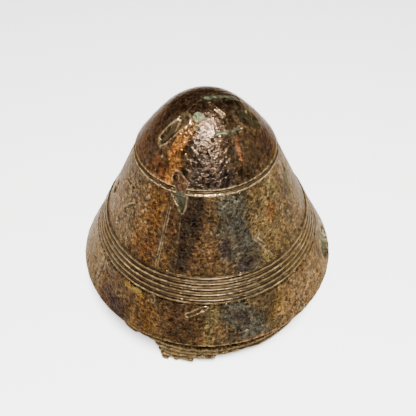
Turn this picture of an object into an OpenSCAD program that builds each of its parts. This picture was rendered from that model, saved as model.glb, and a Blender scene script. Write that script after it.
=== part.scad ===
// Conical brass spice box.
// A ringed foot with a pressed-in floor carries a skirted cone cover that lifts straight off it.
// A domed lid plugs into the cover's mouth. Inside are seven bowls, an inner lid and a spoon.
// The axis is Z, Z = 0 is the plane the foot stands on, and -Y is the front.

/* [Skirt] */
// Radius of the skirt at its lower edge
skirt_r = 60.2; // [59:0.1:62]
// Height of the skirt's lower edge above the standing plane
skirt_z = 30.3; // [29.5:0.1:31]
// Height of the skirt
skirt_h = 16.5; // [15.5:0.1:16.8]
// Radius of the skirt where it meets the ridged band
skirt_top_r = 51.4; // [51:0.1:52]
// How far the skirt's underlip turns down and in
underlip = 1.8; // [1.2:0.1:2.2]

/* [Cone] */
// Outer radius of the cone at its mouth
rim_r = 29.5; // [29.3:0.1:29.9]
// Height of the cone's mouth
rim_z = 91.2; // [91:0.1:91.4]
// Growth in radius for each millimetre down the cone
cone_taper = 0.478; // [0.474:0.001:0.482]
// Thickness of the cover's wall
cover_wall = 3; // [2.6:0.1:3.2]

/* [Ridged band] */
// Height of the band's lower edge
band_z = 47.2; // [47.2:0.1:47.8]
// Height of the band along Z
band_h = 11.3; // [10:0.1:13]
// Number of beads round the band
band_beads = 5; // [3:1:7]
// How far the beads stand out
bead_h = 0.6; // [0.4:0.1:1]
// Depth of the seat that the band is shrunk into
band_seat = 1; // [0.6:0.1:1.2]

/* [Mouth] */
// Height of the mouth ring
mouth_ring_h = 1.4; // [1.2:0.1:2]
// Outer radius of the collar that the mouth ring sits on
collar_r = 28.2; // [28:0.05:28.3]
// Bore of the collar that takes the lid's neck
collar_bore_r = 26; // [25.6:0.1:26.4]
// Length of the collar
collar_h = 8.1; // [6:0.1:10]
// Depth of the locating notch in the cone
notch_depth = 1.2; // [1.1:0.05:1.3]

/* [Lid] */
// Radius of the dome at its lower edge
dome_r = 29.6; // [29.4:0.05:29.65]
// Height of the dome's lower edge
dome_z = 92.1; // [91.9:0.1:92.4]
// Height of the top of the dome
apex_z = 114.9; // [110:0.1:118]
// Radius at which the dome's shoulder turns
shoulder_r = 13.2; // [10:0.1:16]
// Fullness of the dome's shoulder
shoulder_pull = 1.4; // [1:0.05:1.8]
// Horizontal thickness of the dome's wall
dome_wall = 2; // [1.6:0.1:2.4]
// Thickness of the lid's neck
neck_wall = 1.8; // [1.2:0.1:2.2]

/* [Foot] */
// Radius over the foot's rings
foot_r = 54; // [53.5:0.1:54.5]
// Number of rings on the foot
foot_rings = 5; // [4:1:5]
// Spacing of the rings
ring_pitch = 3.3; // [3:0.05:3.4]
// Depth of the grooves between the rings
ring_depth = 1.3; // [0.8:0.1:1.6]
// Radius of the plain neck above the rings
foot_neck_r = 51.2; // [51:0.1:51.6]
// Radius of the spigot inside the cover
spigot_r = 48; // [47.8:0.1:48]
// Height of the spigot's top
spigot_top = 42; // [42:0.1:43]
// Radius of the chamber that holds the bowls
chamber_r = 45.5; // [45.5:0.05:45.8]

/* [Contents] */
// Number of bowls round the middle one
ring_bowls = 6; // [3:1:6]
// Radius of a bowl's rim
bowl_r = 14.9; // [13:0.1:14.9]
// Height of a bowl
bowl_h = 20.2; // [16:0.1:20.4]
// Distance from the axis to each outer bowl
bowl_ring_r = 30.2; // [30.1:0.05:30.3]
// Thickness of a bowl's wall
bowl_wall = 0.8; // [0.6:0.1:1.1]
// Radius of the inner lid
inner_lid_r = 47.4; // [46.5:0.1:47.6]
// Length of the spoon's handle
spoon_handle_l = 40; // [30:1:44]

/* [Hidden] */
$fn = 96;

running_gap = 0.3;                          // clearance between parts that lift apart
seat_z = skirt_z - 1.5;                     // face where the cover rests on the foot
seat_w = 4.5;                               // from the skirt's edge in to the end of that face
underlip_w = 1.7;                           // width of the underlip's lower edge, which slopes up inwards
underlip_rise = 0.3;
bore_r = spigot_r + running_gap;
skirt_top_z = skirt_z + skirt_h;
band_top_z = band_z + band_h;
ring_z = rim_z - mouth_ring_h;              // underside of the mouth ring
function cone_r(z) = rim_r + cone_taper * (rim_z - z);
bore_top_z = rim_z - (bore_r + cover_wall - rim_r) / cone_taper;

flange_r = dome_r - 0.8;                    // the neck's flange, which shows as a groove below the dome
neck_r = collar_bore_r - running_gap;

floor_t = 3;
floor_z = 21;                               // upper face of the floor
under_r = 49.5;                             // hollow below the floor
press_gap = 0.05;                           // between parts that are pressed together

notch_az = -18.1;                           // direction of the locating notch
recess_az = 83;                             // direction of the finger recess
recess_z = 36;
recess_l = 16.5;
recess_w = 10.6;
recess_depth = 3;
pit_az = -87;                                // direction of the small blind pit
pit_z = 69;
pit_r = 3;
pit_depth = 1.6;

dome_steps = 16;                            // straight steps in the dome's outline
rivet_az = -24.3;
rivet_r = 1;
rivet_at = 0.05;                            // share of the way up the dome's outline
plug_az = -15;
plugs = [[0.63, 2.2], [0.49, 1]];           // share of the way up, radius
shank_l = 1.4;                              // how far rivet and plugs reach in from the dome's face
punch_l = 4;                                // half length of the cutter for their holes

inner_lid_t = 1.2;
inner_lid_top = spigot_top + inner_lid_t;
spoon_y = 21;
spoon_bowl_x = -20;
spoon_bowl_r = 8.5;

function bowl_name(i) = i == 0 ? "bowl_centre" : str("bowl_", i);

// A bead: half an ellipse of points, from (r + half, z) round over the top to (r - half, z)
function bead(r, z, half, high, tilt = 0, steps = 8) =
    [for (i = [0:steps]) let (a = 180 * i / steps)
        [r + half * cos(a) * cos(tilt) + high * sin(a) * sin(tilt),
         z - half * cos(a) * sin(tilt) + high * sin(a) * cos(tilt)]];

// Quarter circle of points about (r, z), from angle a0 to a1
function arc(r, z, radius, a0, a1, steps = 6) =
    [for (i = [0:steps]) let (a = a0 + (a1 - a0) * i / steps) [r + radius * cos(a), z + radius * sin(a)]];

// Dome outline: a rational curve from the lower edge (t = 0) over the shoulder to the apex (t = 1)
function dome_point(t, grow = 0) =
    let (edge = (1 - t) * (1 - t), pull = 2 * shoulder_pull * t * (1 - t), top = t * t,
         total = edge + pull + top)
    [(edge * (dome_r + grow) + pull * (shoulder_r + grow / 2)) / total,
     (edge * dome_z + (pull + top) * (apex_z + grow)) / total];
function dome_outline(grow = 0) = [for (i = [0:dome_steps]) dome_point(i / dome_steps, grow)];
// Angle of the dome's outward normal above the horizontal
function dome_tilt(t) =
    let (a = dome_point(t - 0.01), b = dome_point(t + 0.01)) atan2(a[0] - b[0], b[1] - a[1]);

module lathe(points) {
    rotate_extrude() polygon(points);
}

// Puts a child that points along +Z on a surface of revolution, pointing outward and up by tilt
module aim(az, r, z, tilt) {
    rotate([0, 0, az]) translate([0, -r, z]) rotate([90 - tilt, 0, 0]) children();
}

module aim_dome(az, t) {
    aim(az, dome_point(t)[0], dome_point(t)[1], dome_tilt(t)) children();
}

// Extrudes an outline, drawn as seen from outside in direction az, from radius r0 out to r1
module radial_cut(az, r0, r1) {
    rotate([0, 0, az]) rotate([90, 0, 0]) translate([0, 0, r0]) linear_extrude(height = r1 - r0) children();
}

// Foot ---------------------------------------------------------------------------------------

foot_root_r = foot_r - ring_depth;
ring_flank = 0.9;
ring_land = 1.3;
ring_start = 0.1;
neck_rise = 0.4;                            // slope from the top ring up to the neck

foot_cut_r = 10;                            // radius at which the breaks' cutters start

function foot_ring_points() = [
    for (i = [0:foot_rings - 1]) let (z = ring_start + i * ring_pitch)
        for (p = [[foot_root_r, z], [foot_r, z + ring_flank],
                  [foot_r, z + ring_flank + ring_land], [foot_root_r, z + 2 * ring_flank + ring_land]]) p];

// The lower edge is broken away at the front: one gap left of a tooth that still reaches the ground
// (drawn as x, z from the front), and a long shallow one right of it
break_left = [[-48, -1], [-48, 11.5], [-41, 11], [-36, 10.4], [-31.5, 12.4], [-27.2, 15],
              [-23.6, 12.2], [-22.1, 6.1], [-21.6, 1.6], [-21.3, -1]];
break_right = [[-19.4, -1], [-18.6, 1.4], [-17, 3.1], [-16.1, 1.8], [-10.4, 2.9], [-7.6, 2.9],
               [-6.4, 6.2], [0.8, 7.3], [3.1, 8], [4.5, 10.7], [7.2, 11], [15.4, 11.9],
               [25, 10.2], [35, 9.4], [47, 10.5], [47, -1]];

module base_foot() {
    color("darkgoldenrod") difference() {
        lathe(concat(
            [[under_r, 0], [foot_root_r, 0]],
            foot_ring_points(),
            [[foot_neck_r, ring_start + foot_rings * ring_pitch + neck_rise], [foot_neck_r, seat_z],
             [spigot_r, seat_z], [spigot_r, spigot_top], [chamber_r, spigot_top],
             [chamber_r, floor_z], [under_r, floor_z]]));
        radial_cut(0, foot_cut_r, skirt_r) polygon(break_left);
        radial_cut(0, foot_cut_r, skirt_r) polygon(break_right);
    }
}

module base_floor() {
    color("peru") translate([0, 0, floor_z - floor_t]) cylinder(r = under_r - press_gap, h = floor_t);
}

// Cover --------------------------------------------------------------------------------------

// The notch as x, z from outside: square at the mouth, slanting down to a point
notch_outline = [[-4.2, 89], [-4.2, 93], [2, 93], [1.7, 85], [1.1, 83], [0.5, 82.6]];
notch_low = 82;                             // heights that the notch's cutter spans
notch_high = 93;

module locating_notch() {
    intersection() {
        radial_cut(notch_az, collar_bore_r, skirt_r) polygon(notch_outline);
        lathe([[cone_r(notch_low) - notch_depth, notch_low], [skirt_r, notch_low],
               [skirt_r, notch_high], [cone_r(notch_high) - notch_depth, notch_high]]);
    }
}

// Oval blind recess in the skirt, big enough for a fingertip to steady the cover
module finger_recess() {
    half = (recess_l - recess_w) / 2;
    slope = atan2(skirt_r - skirt_top_r, skirt_h);
    at_r = skirt_r - (recess_z - skirt_z) * tan(slope);
    aim(recess_az, at_r, recess_z, slope) {
        for (side = [-1, 1]) translate([side * half, 0, -recess_depth])
            cylinder(d = recess_w, h = 2 * recess_depth);
        translate([-half, -recess_w / 2, -recess_depth]) cube([2 * half, recess_w, 2 * recess_depth]);
    }
}

module blind_pit() {
    aim(pit_az, cone_r(pit_z), pit_z, atan(cone_taper)) translate([0, 0, -pit_depth])
        cylinder(r = pit_r, h = 2 * pit_depth);
}

module cover_cone() {
    color("sienna") difference() {
        lathe([[bore_r, seat_z], [skirt_r - seat_w, seat_z],
               [skirt_r - underlip - underlip_w, skirt_z - underlip + underlip_rise],
               [skirt_r - underlip, skirt_z - underlip], [skirt_r, skirt_z],
               [skirt_top_r, skirt_top_z], [skirt_top_r, band_z],
               [cone_r(band_z) - band_seat, band_z], [cone_r(band_top_z) - band_seat, band_top_z],
               [cone_r(band_top_z), band_top_z], [cone_r(ring_z), ring_z],
               [collar_r + press_gap, ring_z], [bore_r, bore_top_z]]);
        locating_notch();
        finger_recess();
        blind_pit();
    }
}

bead_share = 0.92;                          // share of the band's spacing that each bead takes up

module ridged_band() {
    lean = atan(cone_taper);
    pitch = band_h / band_beads;
    color("goldenrod") lathe(concat(
        [[cone_r(band_top_z) - band_seat, band_top_z], [cone_r(band_z) - band_seat, band_z],
         [cone_r(band_z), band_z]],
        [for (i = [0:band_beads - 1]) let (z = band_z + (i + 0.5) * pitch)
            each bead(cone_r(z), z, bead_share / 2 * pitch / cos(lean), bead_h, 90 - lean)],
        [[cone_r(band_top_z), band_top_z]]));
}

// The mouth ring's two beads: centre, half width, height and lean of the crest outwards
outer_bead = [cone_r(ring_z) - 0.35, ring_z + 0.35, 0.5, 0.5, 45];
inner_bead = [collar_r + 0.7, rim_z - 0.3, 0.5, 0.3, 0];

module mouth_ring() {
    color("khaki") difference() {
        lathe(concat(
            [[collar_r, ring_z], [cone_r(ring_z), ring_z]],
            bead(outer_bead[0], outer_bead[1], outer_bead[2], outer_bead[3], outer_bead[4]),
            bead(inner_bead[0], inner_bead[1], inner_bead[2], inner_bead[3], inner_bead[4]),
            [[collar_r, inner_bead[1]]]));
        radial_cut(notch_az, collar_bore_r, skirt_r) polygon(notch_outline);
    }
}

module mouth_collar() {
    color("tan") translate([0, 0, rim_z - collar_h]) difference() {
        cylinder(r = collar_r, h = collar_h);
        translate([0, 0, -1]) cylinder(r = collar_bore_r, h = collar_h + 2);
    }
}

// Lid ----------------------------------------------------------------------------------------

strap_t = 0.6;                              // how far the key's strap stands off the dome
key_foot_z = 88.8;
key_outline = [[-2.6, key_foot_z - 1], [1.2, key_foot_z - 1], [1.5, 91], [2.2, 93.4], [2.2, 94.6],
               [0.2, 96], [-1.6, 97.4], [-3.4, 97.6], [-4.7, 96.4], [-4.6, 94.8], [-3.4, 93.4], [-2.9, 91.6]];
key_cut_r = 20;                             // radius at which the key's outline starts
key_back_r = cone_r(key_foot_z) - notch_depth + running_gap;
key_face_r = key_back_r + strap_t;
key_face_top = rim_z + 0.3;                 // where the lug's face leans back to the dome
strap_start = 0.03;                         // where the strap starts, as a share of the way up the dome
strap_steps = 4;
// Section of the key: a lug that fills the top of the notch, and a strap that lies on the dome
key_section = concat(
    [[key_back_r, key_foot_z], [key_face_r, key_foot_z], [key_face_r, key_face_top],
     dome_point(strap_start, strap_t)],
    [for (i = [1:strap_steps]) dome_point(i / dome_steps, strap_t)],
    [for (i = [strap_steps:-1:0]) dome_point(i / dome_steps)],
    [[key_back_r, dome_z]]);

module rivet_shank(r, from, to) {
    translate([0, 0, from]) cylinder(r = r, h = to - from);
}

module lid_dome() {
    color("saddlebrown") difference() {
        lathe(concat([[0, dome_z]], dome_outline()));
        lathe(concat([[0, dome_z - 1], [dome_r - dome_wall, dome_z - 1]], dome_outline(-dome_wall)));
        aim_dome(rivet_az, rivet_at) rivet_shank(rivet_r, -punch_l, punch_l);
        for (plug = plugs) aim_dome(plug_az, plug[0]) rivet_shank(plug[1], -punch_l, punch_l);
    }
}

neck_short = 0.5;                           // how far the neck stops short of the collar's lower end

module lid_neck() {
    neck_bottom = rim_z - collar_h + neck_short;
    color("burlywood") lathe([[neck_r - neck_wall, neck_bottom], [neck_r, neck_bottom],
                              [neck_r, rim_z], [flange_r, rim_z],
                              [flange_r, dome_z], [neck_r - neck_wall, dome_z]]);
}

module lid_key() {
    color("olivedrab") difference() {
        intersection() {
            radial_cut(notch_az, key_cut_r, skirt_r) polygon(key_outline);
            lathe(key_section);
        }
        aim_dome(rivet_az, rivet_at) rivet_shank(rivet_r, -punch_l, punch_l);
    }
}

head_r = 1.4;
head_t = 0.5;

module key_rivet() {
    color("dimgray") aim_dome(rivet_az, rivet_at) {
        rivet_shank(rivet_r, -shank_l, strap_t);
        rivet_shank(head_r, strap_t, strap_t + head_t);
    }
}

plug_rise = 0.25;                           // how far the plugs stand proud of the dome

module crown_plugs() {
    color("darkseagreen") for (plug = plugs)
        aim_dome(plug_az, plug[0]) rivet_shank(plug[1], -shank_l, plug_rise);
}

// Contents -----------------------------------------------------------------------------------

module bowl(i) {
    corner = 3.4;
    rim = 0.5;
    wall_r = bowl_r - rim;
    place = i == 0 ? 0 : bowl_ring_r;
    color("gold") rotate([0, 0, 360 * i / ring_bowls]) translate([place, 0, floor_z]) lathe(concat(
        [[0, 0]],
        arc(wall_r - corner, corner, corner, -90, 0),
        [[wall_r, bowl_h - 2 * rim], [bowl_r, bowl_h - 1.4 * rim], [bowl_r, bowl_h - 0.4 * rim],
         [bowl_r - 0.4 * rim, bowl_h], [wall_r - bowl_wall, bowl_h]],
        arc(wall_r - corner, corner, corner - bowl_wall, 0, -90),
        [[0, bowl_wall]]));
}

knob_shank_r = 1.5;

module inner_lid() {
    color("wheat") translate([0, 0, spigot_top]) difference() {
        cylinder(r = inner_lid_r, h = inner_lid_t);
        translate([0, 0, -1]) cylinder(r = knob_shank_r, h = inner_lid_t + 2);
    }
}

// The knob: a peened shank through the lid, a flared foot, a waist and a rounded head
module inner_lid_knob() {
    peen_r = 2.4;
    peen_t = 0.4;
    foot_r = 4;
    waist_r = 2.2;
    waist_z = inner_lid_top + 2.2;
    round_r = 2.4;
    round_z = inner_lid_top + 5.8;
    head_top = round_z + round_r + 0.2;
    color("darkkhaki") lathe(concat(
        [[0, spigot_top - peen_t], [peen_r, spigot_top - peen_t], [peen_r, spigot_top],
         [knob_shank_r, spigot_top], [knob_shank_r, inner_lid_top], [foot_r, inner_lid_top],
         [waist_r, waist_z], [waist_r, round_z - round_r]],
        arc(waist_r, round_z, round_r, -90, 90),
        [[0, head_top]]));
}

module spoon() {
    bowl_depth = 3.4;
    metal = 0.8;
    flat_r = 3;
    side_r = 6.2;
    side_z = 1.2;
    handle_w = 4;
    handle_t = 1.2;
    end_r = 3;
    color("orange") translate([spoon_bowl_x, spoon_y, inner_lid_top]) {
        lathe([[0, 0], [flat_r, 0], [side_r, side_z], [spoon_bowl_r, bowl_depth],
               [spoon_bowl_r - metal, bowl_depth], [side_r - metal / 2, side_z + metal],
               [flat_r, metal], [0, metal]]);
        translate([spoon_bowl_r - metal, 0, bowl_depth - handle_t]) {
            translate([0, -handle_w / 2, 0]) cube([spoon_handle_l, handle_w, handle_t]);
            translate([spoon_handle_l, 0, 0]) cylinder(r = end_r, h = handle_t);
        }
    }
}

base_foot();
base_floor();
cover_cone();
ridged_band();
mouth_ring();
mouth_collar();
lid_dome();
lid_neck();
lid_key();
key_rivet();
crown_plugs();
for (i = [0:ring_bowls]) bowl(i);
inner_lid();
inner_lid_knob();
spoon();
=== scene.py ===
"""The looks of a worn conical brass spice box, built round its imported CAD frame."""

import math

import bpy
import mathutils
import numpy as np
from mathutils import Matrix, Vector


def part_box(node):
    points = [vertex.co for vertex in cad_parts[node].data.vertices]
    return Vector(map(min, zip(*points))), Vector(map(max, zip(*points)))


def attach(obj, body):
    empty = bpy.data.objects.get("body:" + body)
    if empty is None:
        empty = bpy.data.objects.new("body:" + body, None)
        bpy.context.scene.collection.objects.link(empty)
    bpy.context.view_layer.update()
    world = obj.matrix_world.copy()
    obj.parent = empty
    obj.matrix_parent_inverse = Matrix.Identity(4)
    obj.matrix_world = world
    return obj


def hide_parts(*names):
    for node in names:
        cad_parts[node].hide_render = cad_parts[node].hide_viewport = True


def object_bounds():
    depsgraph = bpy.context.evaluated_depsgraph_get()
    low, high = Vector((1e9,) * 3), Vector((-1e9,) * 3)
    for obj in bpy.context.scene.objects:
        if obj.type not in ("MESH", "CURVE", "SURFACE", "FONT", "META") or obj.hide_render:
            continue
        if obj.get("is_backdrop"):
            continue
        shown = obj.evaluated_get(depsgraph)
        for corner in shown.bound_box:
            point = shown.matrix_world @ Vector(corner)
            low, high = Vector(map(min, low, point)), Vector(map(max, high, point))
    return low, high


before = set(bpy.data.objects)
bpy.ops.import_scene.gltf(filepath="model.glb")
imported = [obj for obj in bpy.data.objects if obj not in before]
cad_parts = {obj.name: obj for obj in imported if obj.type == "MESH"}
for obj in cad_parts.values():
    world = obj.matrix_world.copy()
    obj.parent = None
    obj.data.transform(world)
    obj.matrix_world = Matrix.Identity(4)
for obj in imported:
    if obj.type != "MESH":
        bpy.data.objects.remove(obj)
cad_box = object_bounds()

# Sizes ---------------------------------------------------------------------------------------
# Shapes are worked out in millimetres. Azimuths are in degrees, 0 at the front (-Y) and growing
# towards +X. Sizes that the nodes' boxes don't give repeat the CAD's.

MM = 0.001


def mm_box(node):
    low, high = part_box(node)
    return np.array(low) / MM, np.array(high) / MM


COVER_LOW, COVER_HIGH = mm_box("cover_cone")
BAND_LOW, BAND_HIGH = mm_box("ridged_band")
RING_LOW, RING_HIGH = mm_box("mouth_ring")
COLLAR_LOW, COLLAR_HIGH = mm_box("mouth_collar")
NECK_LOW, NECK_HIGH = mm_box("lid_neck")
DOME_LOW, DOME_HIGH = mm_box("lid_dome")
FOOT_HIGH = mm_box("base_foot")[1]
FLOOR_LOW, FLOOR_HIGH = mm_box("base_floor")
INNER_LOW, INNER_HIGH = mm_box("inner_lid")
KNOB_LOW, KNOB_HIGH = mm_box("inner_lid_knob")
BOWL_LOW, BOWL_HIGH = mm_box("bowl_centre")

SKIRT_R = COVER_HIGH[0]
UNDERLIP_Z = COVER_LOW[2]
UNDERLIP_H, SEAT_DROP = 1.8, 1.5
SKIRT_Z = UNDERLIP_Z + UNDERLIP_H
SEAT_Z = SKIRT_Z - SEAT_DROP
SKIRT_TOP_R = 51.4
BAND_Z, BAND_TOP_Z = BAND_LOW[2], BAND_HIGH[2]
SPLIT_Z = (BAND_Z + BAND_TOP_Z) / 2        # where the cone piece meets the skirt piece
SKIRT_TOP_Z = BAND_Z - 0.4
RING_Z, RIM_Z = RING_LOW[2], RING_HIGH[2]
RIM_R = 29.5
CONE_TAPER = 0.478
COVER_WALL = 3.0
BAND_SEAT, BAND_BEADS, BEAD_H = 1.0, 5, 0.6
BAND_PITCH = (BAND_TOP_Z - BAND_Z) / BAND_BEADS
PRESS_GAP = 0.05
BORE_R = 48.3
COLLAR_R = COLLAR_HIGH[0]
COLLAR_BORE_R, NECK_R, NECK_BORE_R = 26.0, 25.7, 23.9
DOME_R, DOME_Z, APEX_Z = DOME_HIGH[0], DOME_LOW[2], DOME_HIGH[2]
DOME_WALL = 2.0
SHOULDER_R, SHOULDER_PULL = 13.2, 1.4
FOOT_TOP, FLOOR_Z = FOOT_HIGH[2], FLOOR_HIGH[2]
FOOT_NECK_R, UNDER_R = 51.2, 49.5
SPIGOT_R, CHAMBER_R = 48.0, 45.5
FOOT_RINGS, FOOT_RING_PITCH, FOOT_RING_Z = 5, 3.3, 0.1
FOOT_VALLEY_R, FOOT_CREST_R = 52.7, 54.0
FOOT_RINGS_TOP = 17.0

# The notch: azimuth of its middle, and its two edges as (height, distance across from the middle)
NOTCH_AZ = -18.1
NOTCH_FOOT = (82.6, 0.5)
NOTCH_LEFT = [NOTCH_FOOT, (89, -4.2), (93, -4.2)]
NOTCH_RIGHT = [NOTCH_FOOT, (83, 1.1), (85, 1.7), (93, 2.0)]
CONE_NOTCH_DEPTH, RIM_NOTCH_DEPTH = 1.1, 1.9


def cone_r(z):
    return RIM_R + CONE_TAPER * (RIM_Z - z)


def skirt_r(z):
    return SKIRT_R + (SKIRT_TOP_R - SKIRT_R) * (z - SKIRT_Z) / (SKIRT_TOP_Z - SKIRT_Z)


def dome_point(t, grow=0.0):
    """The dome's outline as (r, z): t is 0 at its lower edge and 1 at the apex."""
    edge, pull, top = (1 - t) ** 2, 2 * SHOULDER_PULL * t * (1 - t), t * t
    total = edge + pull + top
    r = (edge * (DOME_R + grow) + pull * (SHOULDER_R + grow / 2)) / total
    return r, (edge * DOME_Z + (pull + top) * (APEX_Z + grow)) / total


DOME_CURVE = np.array([dome_point(t) for t in np.linspace(1, 0, 60)])


def dome_z(r):
    return np.interp(r, DOME_CURVE[:, 0], DOME_CURVE[:, 1])


# Noise ---------------------------------------------------------------------------------------

class Noise:
    """Repeatable noise read at points in millimetres."""

    SIDE = 32

    def __init__(self, seed):
        random = np.random.RandomState(seed)
        self.lattice = random.rand(self.SIDE, self.SIDE, self.SIDE)
        self.jitter = random.rand(self.SIDE, self.SIDE, self.SIDE, 4)

    def value(self, points, size):
        """Smooth noise from -1 to 1."""
        q = points / size
        cell = np.floor(q).astype(int)
        f = q - cell
        f = f * f * (3 - 2 * f)
        total = np.zeros(len(points))
        for corner in range(8):
            step = np.array([corner >> 2 & 1, corner >> 1 & 1, corner & 1])
            weight = np.prod(np.where(step, f, 1 - f), axis=1)
            x, y, z = ((cell + step) % self.SIDE).T
            total += weight * self.lattice[x, y, z]
        return 2 * total - 1

    def layers(self, points, size, octaves=4, gain=0.5):
        """Several sizes of noise added up, each half the size of the last."""
        total, weight, sum_of_weights = np.zeros(len(points)), 1.0, 0.0
        for octave in range(octaves):
            total += weight * self.value(points + 17.3 * octave, size / 2 ** octave)
            sum_of_weights += weight
            weight *= gain
        return total / sum_of_weights

    def pits(self, points, size, share=0.6):
        """Depth from 0 to 1 of round pits about size apart; share of the cells hold one."""
        q = points / size
        cell = np.floor(q).astype(int)
        depth = np.zeros(len(points))
        for step in np.ndindex(3, 3, 3):
            at = cell + step - np.array((1, 1, 1))
            x, y, z = (at % self.SIDE).T
            jitter = self.jitter[x, y, z]
            away = np.linalg.norm(q - at - jitter[:, :3], axis=1)
            radius = 0.15 + 0.45 * self.lattice[x, y, z]
            bowl = np.clip(1 - (away / radius) ** 2, 0, 1) * (jitter[:, 3] < share)
            depth = np.maximum(depth, bowl * (0.4 + radius))
        return depth


WEAR = Noise(11)
STAIN = Noise(23)


def smooth(low, high, value):
    """0 below low, 1 above high, and a smooth step between them."""
    t = np.clip((value - low) / (high - low), 0, 1)
    return t * t * (3 - 2 * t)


def place(azimuth, r, z):
    """Points in the frame from azimuth, radius and height."""
    a = np.radians(azimuth)
    return np.stack([r * np.sin(a), -r * np.cos(a), z + 0 * a], axis=-1)


def linear(*colour):
    """A colour given as three numbers from 0 to 255, in the units that shaders use."""
    return (np.array(colour) / 255.0) ** 2.2


PATINA_GAIN = 0.34        # the lights and the speckle brighten the metal by about three times


def patina(*colour):
    """The metal's colour where the worn surface is to look like the colour given."""
    return PATINA_GAIN * linear(*colour)


# Surfaces ------------------------------------------------------------------------------------

MASKS = ("Green", "BareAndGlint", "Dark")        # verdigris; rubbed metal, partly painted highlight on the band's bead crests and the mouth ring's outer bead; grime, partly painted shadow on the foot under the skirt; each from 0 to 1
PLAIN_BRASS = patina(120, 95, 65)


class Surface:
    """The points of a turned piece while it is being worn: their offsets and what shows on them."""

    def __init__(self, azimuth, r, z, normal_r, normal_z, profile):
        self.azimuth, self.r, self.z = azimuth, r, z
        self.normal_r, self.normal_z = normal_r, normal_z
        self.profile = profile
        self.points = place(azimuth, r, z)
        self.offset = np.zeros(len(r))
        self.masks = {name: np.zeros(len(r)) for name in MASKS}
        self.colour = np.ones((len(r), 3)) * PLAIN_BRASS

    def outside(self):
        """1 on faces that look outwards or upwards, 0 on the inside."""
        return smooth(0.05, 0.3, self.normal_r + 0.5 * self.normal_z)

    def mark(self, name, amount):
        self.masks[name] = np.maximum(self.masks[name], amount)

    def away(self, path):
        """Distance of each point from a line through the path's (azimuth, place on profile) points."""
        path = [place(azimuth, *self.profile(v)) for azimuth, v in path]
        best = np.linalg.norm(self.points - path[0], axis=1)
        for a, b in zip(path[:-1], path[1:]):
            along = np.clip((self.points - a) @ (b - a) / ((b - a) @ (b - a)), 0, 1)
            best = np.minimum(best, np.linalg.norm(self.points - a - along[:, None] * (b - a), axis=1))
        return best

    def weather(self, dents=0.12, grain=0.1, pits=0.2, pit_size=2.2):
        """Overall wear: broad dents, a wrinkled skin and scattered pits, none of it standing proud."""
        where = self.outside()
        skin = dents * (WEAR.layers(self.points, 13, 3) - 0.5)
        creases = 1 - smooth(0.0, 0.3, np.abs(WEAR.layers(self.points + 70, 3.6, 3, 0.6)))
        skin += grain * (WEAR.layers(self.points, 2.4, 2, 0.7) - 0.4 - 0.8 * creases)
        self.mark("Dark", 0.35 * where * creases)
        holes = WEAR.pits(self.points, pit_size) * smooth(-0.3, 0.35, WEAR.layers(self.points + 50, 16, 3))
        self.offset += where * (skin - pits * holes)
        self.mark("Dark", 0.8 * where * smooth(0.25, 0.7, holes))

    def groove(self, path, half, depth, lip, green, bare, dark, flat=0.3):
        """Sinks a groove along a path, with a raised lip on both sides; flat is the bed's share of half."""
        near = self.away(path) / half + 0.25 * WEAR.layers(self.points, 1.8, 2)
        where = self.outside()
        bed = where * (1 - smooth(flat, 1.0, near))
        ridge = where * np.exp(-((near - 1.2) / 0.3) ** 2)
        self.offset += lip * ridge - depth * bed
        self.mark("Green", green * bed)
        self.mark("Dark", dark * bed)
        self.mark("BareAndGlint", bare * ridge)

    def grooves(self, marks):
        for path, half, depth, lip, green, bare, dark in marks:
            self.groove(path, half, depth, lip, green, bare, dark)

    def ground(self, stops):
        """The colour round the piece, from (azimuth, colour) stops: patina, with painted reflection and shade
        where a table holds them.
        """
        azimuths = [azimuth for azimuth, _ in stops]
        warped = self.azimuth + 5 * STAIN.layers(self.points, 15, 4)
        for i in range(3):
            self.colour[:, i] = np.interp(warped, azimuths, [colour[i] for _, colour in stops])

    def stains(self, patches):
        """Colours ragged patches along paths."""
        for path, half, colour in patches:
            near = self.away(path) / half + 0.5 * STAIN.layers(self.points, 5, 4, 0.65)
            amount = (0.85 * (1 - smooth(0.65, 1.15, near)))[:, None]
            self.colour = self.colour * (1 - amount) + colour * amount

    def mottle(self, amount):
        """Uneven lightness and warmth, from large blotches down to specks."""
        tone = STAIN.layers(self.points + 90, 9, 5, 0.8)
        fine = STAIN.layers(self.points + 30, 1.6, 2, 0.8)
        self.colour *= (1 + amount * (1.6 * tone + fine))[:, None]
        warmth = 1.5 * amount * STAIN.layers(self.points + 160, 5, 4, 0.8)
        self.colour *= 1 + warmth[:, None] * np.array((0.5, 0.0, -0.8))

    def shade(self, amount):
        """Painted shade: darkens the front, standing for the dim reflection there."""
        front = 1 - smooth(28, 75, np.abs(self.azimuth))
        self.colour *= (1 - amount * front)[:, None]


def trace(corners, step, closed=True, soft=0.25):
    """An outline through the corners with points about step apart, where step is one number or one for
    each side, and its sharp corners eased over a length of soft."""
    corners = np.array(corners, float)
    count = len(corners)
    steps = step if isinstance(step, (list, tuple)) else [step] * count
    eased, lengths = [], []
    for i, corner in enumerate(corners):
        ends = not closed and i in (0, count - 1)
        before, after = corners[i - 1] - corner, corners[(i + 1) % count] - corner
        room = min(np.linalg.norm(before), np.linalg.norm(after)) * 0.3
        before, after = (v / max(np.linalg.norm(v), 1e-9) for v in (before, after))
        ease = min(soft, room)
        if ends or before @ after < -0.97 or ease < 0.02:
            eased.append(corner)
            lengths.append(steps[i])
        else:
            for a in (1.0, 0.5, 0.0):
                b = 1 - a
                eased.append(corner + ease * (a * a * before + b * b * after))
                lengths.append(steps[i] if b == 1 else 99)
    eased = np.array(eased)
    out = []
    for i in range(len(eased) if closed else len(eased) - 1):
        a, b = eased[i], eased[(i + 1) % len(eased)]
        parts = max(1, int(round(np.linalg.norm(b - a) / lengths[i])))
        out += [a + (b - a) * k / parts for k in range(parts)]
    return np.array(out if closed else out + [eased[-1]])


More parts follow.
